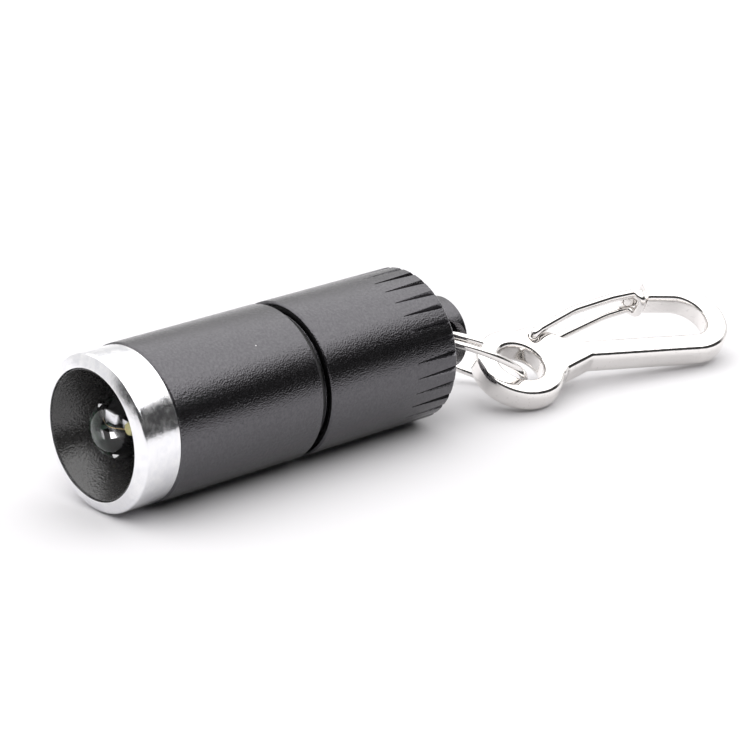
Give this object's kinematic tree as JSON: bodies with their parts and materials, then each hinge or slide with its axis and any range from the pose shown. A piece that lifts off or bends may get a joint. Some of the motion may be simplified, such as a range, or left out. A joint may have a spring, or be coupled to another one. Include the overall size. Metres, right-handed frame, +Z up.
{
  "type": "keychain flashlight",
  "caption": "Slim twist-to-light keychain flashlight with a clear dome lamp, bright bezel, black fluted tail, split ring and a wire-gate snap hook.",
  "frame": {"origin": "on the axis of the light, 12 mm behind the front face of the bezel, inside the straight black barrel of the head", "axes": "+Y along the light from the lamp towards the lanyard boss, ring and hook; -Y is the way the lamp shines; +Z up, with the light lying on a flat surface 6.5 mm below the axis"},
  "size_m": [0.0157, 0.0657, 0.013],
  "materials": {
    "bezel": "bright turned, fine circular lay",
    "shell": "bead-blasted, black anodised, satin",
    "cone": "matte black",
    "epoxy": "water-clear cast epoxy",
    "leads": "silver plated, satin",
    "chip": "yellow phosphor",
    "seat": "white moulded",
    "board": "green solder mask",
    "contacts": "gold-plated copper",
    "resistor": "ceramic with a black coat",
    "cells": "nickel-plated can",
    "sleeve": "white heat-shrink film",
    "spring": "plated spring wire",
    "seal": "black nitrile, lightly greased",
    "ring": "nickel-plated spring wire",
    "hook": "nickel-plated zinc casting, polished",
    "gate": "nickel-plated spring wire, polished"
  },
  "bodies": {
    "tail": {"tail_shell": "shell", "battery_sleeve": "sleeve", "tail_spring": "spring", "o_ring": "seal"},
    "stack": {"button_cell_1": "cells", "button_cell_2": "cells", "button_cell_3": "cells", "button_cell_4": "cells"},
    "head": {"bezel_ring": "bezel", "head_shell": "shell", "reflector_cone": "cone", "led_lens": "epoxy", "led_anvil": "leads", "led_post": "leads", "led_chip": "chip", "led_seat": "seat", "driver_board": "board", "ring_contact": "contacts", "centre_contact": "contacts", "chip_resistor": "resistor"},
    "ring": {"split_ring": "ring"},
    "hook": {"hook_body": "hook"},
    "gate": {"hook_gate": "gate"}
  },
  "joints": [
    {"name": "screw_advance", "type": "slide", "parent": "tail", "child": "stack", "axis": [0, -1, 0], "range_m": [-0.00038, 0.00337], "deforming": ["tail_spring"]},
    {"name": "head_twist", "type": "hinge", "parent": "stack", "child": "head", "pos_m": [0, 0, 0], "axis": [0, -1, 0], "range_deg": [-183, 1630]},
    {"name": "ring_swing", "type": "hinge", "parent": "tail", "child": "ring", "pos_m": [0, 0.02308, 0], "axis": [0.9659, 0, 0.2588], "range_deg": [-48, 116]},
    {"name": "hook_swing", "type": "hinge", "parent": "ring", "child": "hook", "pos_m": [0.00454, 0.03056, -0.00395], "axis": [-0.6603, 0.5236, -0.5384], "range_deg": [-60, 75]},
    {"name": "gate_hinge", "type": "hinge", "parent": "hook", "child": "gate", "pos_m": [0.00194, 0.03363, -0.00276], "axis": [0.4425, -0.0471, 0.8955], "range_deg": [-18, 0], "stiffness_Nm_per_rad": 0.001, "springref_deg": 28.65}
  ],
  "couplings": [
    {"joint": "head_twist", "follows": "screw_advance", "rad_per_m": 8377.6}
  ]
}
